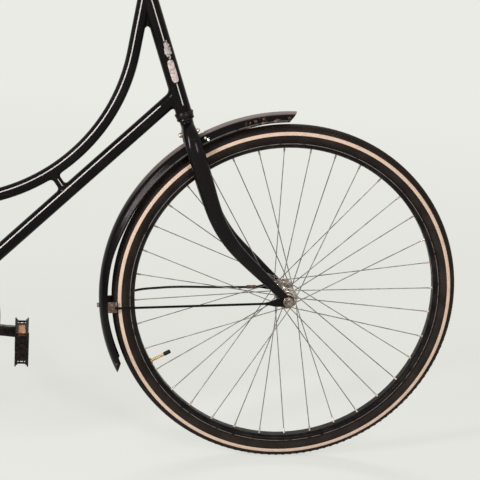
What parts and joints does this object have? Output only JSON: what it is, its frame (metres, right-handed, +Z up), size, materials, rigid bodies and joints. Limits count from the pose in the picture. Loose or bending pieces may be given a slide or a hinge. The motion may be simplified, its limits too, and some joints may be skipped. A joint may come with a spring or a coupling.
{
  "type": "step-through roadster bicycle",
  "caption": "Step-through roadster bicycle with curved top tube, closed chaincase, mudguards, rear rack and twin-leg stand; wheels, steering, cranks and stand move",
  "frame": {"origin": "on the floor, midway along the overall length, in the plane of the wheels", "axes": "+X forward, +Y to the rider's left, +Z up"},
  "size_m": [1.8808, 0.643, 1.1433],
  "materials": {
    "black_paint": "gloss black enamel, worn, with fine scratches",
    "dark_steel": "dull dark plated steel",
    "zinc_steel": "zinc plated, dulled",
    "chrome": "chrome plate",
    "bronze_chrome": "old plate with a warm tarnish",
    "rusty_steel": "rusty bare steel",
    "tyre_rubber": "black-brown rubber with a tan wall line",
    "rim_paint": "gloss black with a pale edge",
    "spoke_steel": "galvanised, with tan nipples",
    "brass": "aged brass with a black cap",
    "black_vinyl": "black grained cover",
    "grip_rubber": "matt black",
    "pedal_rubber": "ribbed black rubber",
    "amber_lens": "amber prism lens",
    "red_lens": "red prism lens"
  },
  "bodies": {
    "frame": {"head_tube": "black_paint", "headset_lower": "dark_steel", "headset_upper": "dark_steel", "down_tube": "black_paint", "top_tube": "black_paint", "seat_tube": "black_paint", "bottom_bracket_shell": "black_paint", "chainstays": "black_paint", "seatstays": "black_paint", "seat_post": "chrome", "saddle_top": "black_vinyl", "saddle_frame": "dark_steel", "rear_mudguard": "black_paint", "rear_mudguard_stays": "black_paint", "rear_reflector": "red_lens", "chaincase": "black_paint", "rear_axle": "zinc_steel", "brake_arm": "zinc_steel", "rear_rack": "black_paint", "rack_legs": "black_paint"},
    "steering": {"fork_crown": "black_paint", "fork_blades": "black_paint", "crown_bolt": "zinc_steel", "front_mudguard": "black_paint", "stay_bracket": "rusty_steel", "front_mudguard_stays": "black_paint", "front_axle": "zinc_steel", "stem": "chrome", "handlebar": "chrome", "grip_left": "grip_rubber", "grip_right": "grip_rubber"},
    "front_wheel": {"front_tyre": "tyre_rubber", "front_rim": "rim_paint", "front_spokes": "spoke_steel", "front_hub": "bronze_chrome", "front_valve": "brass"},
    "rear_wheel": {"rear_tyre": "tyre_rubber", "rear_rim": "rim_paint", "rear_spokes": "spoke_steel", "rear_hub": "bronze_chrome", "rear_valve": "brass"},
    "crankset": {"crank_right": "dark_steel", "crank_left": "dark_steel", "crank_spindle": "dark_steel"},
    "pedal_right": {"pedal_right_frame": "dark_steel", "pedal_right_blocks": "pedal_rubber", "pedal_right_reflectors": "amber_lens"},
    "pedal_left": {"pedal_left_frame": "dark_steel", "pedal_left_blocks": "pedal_rubber", "pedal_left_reflectors": "amber_lens"},
    "stand": {"stand_leg_left": "black_paint", "stand_leg_right": "black_paint", "stand_crossbar": "black_paint"}
  },
  "joints": [
    {"name": "steer", "type": "hinge", "parent": "frame", "child": "steering", "pos_m": [0.3229, 0, 0.84703], "axis": [-0.3295, 0, 0.9441], "range_deg": [-70, 70]},
    {"name": "front_wheel_spin", "type": "hinge", "parent": "steering", "child": "front_wheel", "pos_m": [0.5925, 0, 0.348], "axis": [0, 1, 0], "continuous": true},
    {"name": "rear_wheel_spin", "type": "hinge", "parent": "frame", "child": "rear_wheel", "pos_m": [-0.5675, 0, 0.38], "axis": [0, 1, 0], "continuous": true},
    {"name": "crank_spin", "type": "hinge", "parent": "frame", "child": "crankset", "pos_m": [-0.0995, 0, 0.30168], "axis": [0, 1, 0], "continuous": true},
    {"name": "pedal_right_spin", "type": "hinge", "parent": "crankset", "child": "pedal_right", "pos_m": [0.06907, -0.153, 0.28829], "axis": [0, 1, 0], "continuous": true},
    {"name": "pedal_left_spin", "type": "hinge", "parent": "crankset", "child": "pedal_left", "pos_m": [-0.26807, 0.153, 0.31506], "axis": [0, 1, 0], "continuous": true},
    {"name": "stand_fold", "type": "hinge", "parent": "frame", "child": "stand", "pos_m": [-0.5675, 0, 0.38], "axis": [0, 1, 0], "range_deg": [0, 95]}
  ]
}
